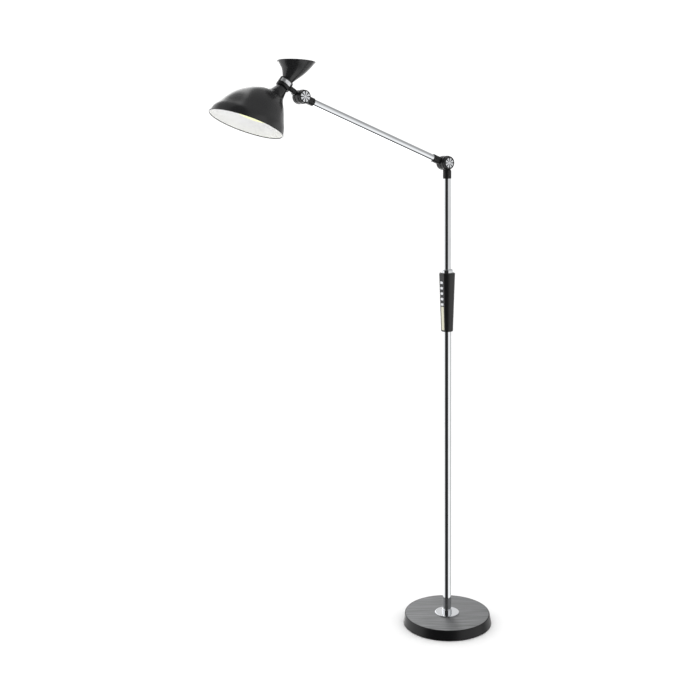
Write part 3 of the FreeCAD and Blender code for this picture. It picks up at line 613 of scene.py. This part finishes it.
# %% Sections of the bell and the cone
sheet_mm = 1.2
neck_reach = 10.55
neck_tilt = math.degrees(math.atan2(joints["head_swivel"]["axis"][0],
                                    joints["head_swivel"]["axis"][2]))
neck_bore = 8.0

# Shares of the whole way from the neck to the rim: outward, along, growth and turn.
bell_sections = (
    (0.0, 0.0, 0.0, 0.0),
    (0.179, 0.174, 0.103, 0.22),
    (0.342, 0.223, 0.289, 0.28),
    (0.515, 0.315, 0.506, 0.50),
    (0.675, 0.440, 0.678, 0.80),
    (0.841, 0.672, 0.852, 1.0),
    (0.925, 0.825, 0.951, 1.0),
    (1.0, 1.0, 1.0, 1.0),
)
cone_sections = (
    (0.0, 0.0, 0.0, 0.0),
    (0.267, 0.238, 0.190, 0.28),
    (0.611, 0.499, 0.468, 0.61),
    (0.878, 0.796, 0.802, 0.89),
    (1.0, 1.0, 1.0, 1.0),
)
stops_between = 9


def smooth_way(stops):
    """Points on a smooth curve through these stops, of any number of values."""
    way = []
    for i in range(len(stops) - 1):
        before = stops[max(i - 1, 0)]
        here = stops[i]
        there = stops[i + 1]
        beyond = stops[min(i + 2, len(stops) - 1)]
        for step in range(stops_between):
            t = step / stops_between
            way.append(tuple(
                b + t * (c - a) / 2 + t * t * (a - 2.5 * b + 2 * c - d / 2)
                + t * t * t * (1.5 * (b - c) + (d - a) / 2)
                for a, b, c, d in zip(before, here, there, beyond)))
    way.append(stops[-1])
    return way


print("stops along the bell:", len(smooth_way(bell_sections)))

# %% Flared sheet
ring_points = 192
bead_radius = 1.25
bead_steps = 9
bead_from = -25
bead_to = 205


def flared(name, sections, neck_radius, rim_radius, out_mm, along_mm, neck_angle, rim_angle, start):
    """A sheet from its neck to its rim and back inside, and the ring where the inside starts."""
    place = bench(neck, 0)
    tilt = math.radians(neck_tilt)
    origin = (-math.sin(tilt) * start, math.cos(tilt) * start)
    way = smooth_way(sections)

    def circle(share, radius, shift):
        out, along, _, turn = share
        angle = math.radians(neck_angle + (rim_angle - neck_angle) * turn)
        x = origin[0] + out_mm * out + shift * math.cos(angle)
        z = origin[1] + along_mm * along + shift * math.sin(angle)
        ring = []
        for j in range(ring_points):
            spin = 2 * math.pi * j / ring_points
            side = radius * math.cos(spin)
            ring.append(place @ (Vector((x - side * math.sin(angle), radius * math.sin(spin),
                                         z + side * math.cos(angle))) * MM))
        return ring

    def outer_radius(share):
        return neck_radius + (rim_radius - neck_radius) * share[2]

    rings = [circle(way[0], neck_bore, 0.0)]
    rings += [circle(share, outer_radius(share), 0.0) for share in way[:-1]]
    for step in range(bead_steps):
        roll = math.radians(bead_from + (bead_to - bead_from) * step / (bead_steps - 1))
        middle = rim_radius - sheet_mm / 2
        rings.append(circle(way[-1], middle + bead_radius * math.cos(roll),
                            bead_radius * (math.sin(roll) - 1)))
    inside = len(rings)
    for share in reversed(way[:-1]):
        fade = 1 - share[2]
        rings.append(circle(share, outer_radius(share) - sheet_mm, sheet_mm * fade))
    rings.append(circle(way[0], neck_bore, sheet_mm))
    return skin(name, rings, closed=True), inside


bell, inside = flared("spun_bell", bell_sections, neck_radius=12.7, rim_radius=87.0, out_mm=95.8,
                      along_mm=-82.1, neck_angle=-50, rim_angle=-68, start=-neck_reach)
fit(bell, "shade_dome", enamel_black, enamel_white)
last_row = len(bell.vertices) // ring_points - 1
for face in bell.polygons:
    row = face.vertices[0] // ring_points
    if inside - 1 <= row < last_row:
        face.material_index = 1

cone, inside = flared("spun_rear_cone", cone_sections, neck_radius=12.0, rim_radius=43.6,
                      out_mm=-26.2, along_mm=43.7, neck_angle=130, rim_angle=94,
                      start=neck_reach)
fit(cone, "rear_cone", enamel_black)

# %% [markdown]
# ## Light in the shade
# The light is a flat round module: a white pan with a frosted diffuser that stands a little
# proud. The diffuser is slightly domed and has a rounded edge, so it is turned again.

# %% Diffuser
lens_low, lens_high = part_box("led_diffuser")
lens_middle = (lens_low + lens_high) / 2
rim_lean = 22
lens_place = Matrix.Translation(lens_middle) @ bench(Vector(), rim_lean)
lens_radius = 40.8
lens_half = 1.6
diffuser = lathe("domed_diffuser", lens_place, [
    (0, -lens_half, 0),
    (lens_radius * 0.55, -lens_half, 6.0),
    (lens_radius - 1.2, -lens_half + 0.5, 0.5),
    (lens_radius, -lens_half + 1.4, 0.3),
    (lens_radius, lens_half, 0),
    (0, lens_half, 0),
], 128)
fit(diffuser, "led_diffuser", lamp_lens)

# %% [markdown]
# ## Keys
# Five keys stand in the polished strip of the grip. A moulded key is slightly crowned and has
# soft edges, so each one is a small rounded block whose front bulges by a quarter of a
# millimetre. It is built from rings that shrink toward the front. These blocks have squarer
# corners than the openings in the strip, so their corners reach about 0.2 mm into its edge.

# %% Keys
key_tall = 6.4
key_wide = 10.0
key_crown = 0.25
key_front = 0.9
key_play = 0.2
key_squareness = 6.0
key_around = 64


def key_mesh(name, node, axis):
    """A soft rectangular block with a crowned front. axis is the way the key is pressed."""
    low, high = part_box(node)
    middle = (low + high) / 2
    depth = (high.x - low.x) / MM - key_play
    side = Vector((0, 1, 0))
    rise = axis.cross(side)
    rings = []
    rows = [(0.0, 1.0), (0.80, 1.0), (0.90, 0.99), (0.96, 0.965), (0.99, 0.93), (1.0, key_front)]
    rows += [(1.0 + key_crown / depth * (1 - s * s), key_front * s)
             for s in (0.8, 0.6, 0.4, 0.2, 0.05)]
    for out, share in rows:
        ring = []
        for j in range(key_around):
            turn = 2 * math.pi * j / key_around
            y = math.copysign(abs(math.cos(turn)) ** (2 / key_squareness), math.cos(turn))
            z = math.copysign(abs(math.sin(turn)) ** (2 / key_squareness), math.sin(turn))
            local = side * (y * key_wide / 2 * share) + rise * (z * key_tall / 2 * share)
            ring.append(middle + (local - axis * (depth * (out - 0.5))) * MM)
        rings.append(ring)
    return skin(name, rings)


for number in range(1, 6):
    node = "key_" + str(number)
    press = Vector(joints[node + "_press"]["axis"])
    fit(key_mesh("crowned_key_" + str(number), node, press), node, key_lacquer)

# %% [markdown]
# ## The design's own pieces
# The remaining solids already have their true shape, so they only take the finish of the
# real piece.

# %% Finishes on the design's solids
finishes = {
    chrome: "pole_collar band_screw",
    satin_chrome: "neck_band",
    abs_black: "housing",
    nylon_black: "elbow_washer head_washer",
    gloss_black: "control_panel board_ribs",
    zinc: "foot_plug foot_washer foot_bolt pole_joint elbow_bolt head_bolt neck_tube neck_nuts "
          "key_switches",
    dark_steel_and_notch_shade: "collar_screw pole_set_screw arm_set_screws",
    iron: "base_weight",
    rubber: "floor_pad cord_gland",
    enamel_white: "led_pan led_board led_post",
    laminate: "control_board night_light_strip",
    night_lens: "night_light_lens",
}
for material, names in finishes.items():
    for name in names.split():
        mesh = nodes[name].data
        mesh.materials.clear()
        mesh.materials.append(material)
print("solids with a finish:", sum(len(names.split()) for names in finishes.values()))

# %% [markdown]
# ## Camera
# The camera stands in front and to the left of the lamp, a little above the elbow's
# height, and looks slightly down, so that the base shows its top and the shade its inside.

# %% Camera
view_turn = math.radians(33.20)
view_pitch = math.radians(10.42)
view_roll = math.radians(-0.966)
view_distance = 2.7025
view_height = 1.2610
view_side = 0.2541
lens_mm = 54.0

right = Vector((math.cos(view_turn), -math.sin(view_turn), 0))
ahead = Vector((math.sin(view_turn), math.cos(view_turn), 0))
up = Vector((0, 0, 1))
look = math.cos(view_pitch) * ahead - math.sin(view_pitch) * up
top = math.sin(view_pitch) * ahead + math.cos(view_pitch) * up
camera_x = math.cos(view_roll) * right + math.sin(view_roll) * top
camera_y = math.cos(view_roll) * top - math.sin(view_roll) * right
eye = -view_side * right - view_distance * ahead + view_height * up
camera_data = bpy.data.cameras.new("camera")
camera_data.lens = lens_mm
camera_data.sensor_width = 36.0
camera_data.clip_start = 0.05
camera_data.clip_end = 60.0
camera = bpy.data.objects.new("camera", camera_data)
camera_axes = Matrix((camera_x, camera_y, -look)).transposed().to_4x4()
camera.matrix_world = Matrix.Translation(eye) @ camera_axes
bpy.context.collection.objects.link(camera)
bpy.context.scene.camera = camera
print("camera at", [round(v, 3) for v in eye])

# %% [markdown]
# ## Studio
# The floor is pale and plain, and a plain white room lights the lamp softly from all sides.
# Chrome shows only what stands around it: in an all-white room it would vanish. So, as in
# a real studio, dark screens stand out of view. A tall one beside the camera gives every tube
# its dark stripe, narrow ones on the right draw thin lines along its edge, and grey ones high
# up on the right and overhead shade the top of the arm. A bright box far on the left gives
# the shade its gleam. They are part of the room's reflection only, so the light stays even.

# %% Screens
def band(tree, value, start, end, soft, share):
    """This share between start and end of the value, and 0 outside, with soft edges."""
    rise = add(tree, "ShaderNodeMapRange", {"From Min": start - soft, "From Max": start + soft},
               {"Value": value}, interpolation_type="SMOOTHSTEP")
    fall = add(tree, "ShaderNodeMapRange", {"From Min": end - soft, "From Max": end + soft},
               {"Value": value}, interpolation_type="SMOOTHSTEP")
    between = add(tree, "ShaderNodeMath", links={0: rise.outputs["Result"],
                                                 1: fall.outputs["Result"]},
                  operation="SUBTRACT")
    return add(tree, "ShaderNodeMath", {1: share}, {0: between.outputs[0]},
               operation="MULTIPLY").outputs[0]


# Bearings are in degrees round the lamp, with 0 toward the camera and the right positive.
# Heights are those of the direction looked in: 1 straight up, 0 level and -1 straight down.
# Each row is a screen's bearings and their softness, its heights and theirs, and its darkness.
screens = (
    (-64, 24, 5, -2, 2, 0.1, 0.975),
    (96, 116, 2, -2, -0.11, 0.05, 0.80),
    (124, 150, 4, -2, 2, 0.1, 0.40),
    (22, 178, 4, -0.14, 2, 0.06, 0.30),
    (76, 170, 5, 0.135, 2, 0.035, 0.60),
    (-400, 400, 5, 0.55, 2, 0.07, 0.66),
    (-400, 400, 5, -2, -0.86, 0.06, 0.90),
)
bright_box = (-177, -156, 5, 1.8)
print("screens:", len(screens))

# %% Room
room_light = 1.12
world = bpy.data.worlds.new("studio")
bpy.context.scene.world = world
world.use_nodes = True
room = world.node_tree
room.nodes.clear()
way = add(room, "ShaderNodeTexCoord").outputs["Generated"]
facing = add(room, "ShaderNodeVectorRotate", {"Angle": view_turn}, {"Vector": way},
             rotation_type="Z_AXIS")
parts = add(room, "ShaderNodeSeparateXYZ", links={"Vector": facing.outputs["Vector"]})
toward = add(room, "ShaderNodeMath", {1: -1.0}, {0: parts.outputs["Y"]}, operation="MULTIPLY")
around = add(room, "ShaderNodeMath", links={0: parts.outputs["X"], 1: toward.outputs[0]},
             operation="ARCTAN2")
bearing = add(room, "ShaderNodeMath", links={0: around.outputs[0]}, operation="DEGREES").outputs[0]
height = parts.outputs["Z"]
darkness = None
for left, right_end, soft, low, high, fade, dark in screens:
    across = band(room, bearing, left, right_end, soft, dark)
    upward = band(room, height, low, high, fade, 1.0)
    patch = add(room, "ShaderNodeMath", links={0: across, 1: upward}, operation="MULTIPLY")
    darkest = {0: patch.outputs[0], 1: darkness or patch.outputs[0]}
    darkness = add(room, "ShaderNodeMath", links=darkest, operation="MAXIMUM").outputs[0]
dimmed = add(room, "ShaderNodeMath", {0: 1.0}, {1: darkness}, operation="SUBTRACT")
lit_box = band(room, bearing, *bright_box)
mirrored = add(room, "ShaderNodeMath", links={0: dimmed.outputs[0], 1: lit_box}, operation="ADD")
path = add(room, "ShaderNodeLightPath")
seen = add(room, "ShaderNodeMix", {2: 1.0},
           {0: path.outputs["Is Glossy Ray"], 3: mirrored.outputs[0]}, data_type="FLOAT")
strength = add(room, "ShaderNodeMath", {1: room_light}, {0: seen.outputs[0]},
               operation="MULTIPLY")
walls = add(room, "ShaderNodeBackground", {"Color": srgb("ffffff")},
            {"Strength": strength.outputs[0]})
add(room, "ShaderNodeOutputWorld", links={"Surface": walls.outputs["Background"]})
bpy.context.scene.view_settings.view_transform = "Standard"
print("nodes in the room's shader:", len(room.nodes))

# %% Floor
floor_side = 30.0
floor_mesh = bpy.data.meshes.new("floor")
floor_mesh.from_pydata(
    [(-floor_side, -floor_side, 0), (floor_side, -floor_side, 0),
     (floor_side, floor_side, 0), (-floor_side, floor_side, 0)], [], [(0, 1, 2, 3)])
floor = bpy.data.objects.new("floor", floor_mesh)
bpy.context.collection.objects.link(floor)
floor_mesh.materials.append(surface("pale_painted_floor", ("fafafa", "ffffff"), (0.8, 0.9), 40))
floor.visible_glossy = False
print("floor", 2 * floor_side, "m across")
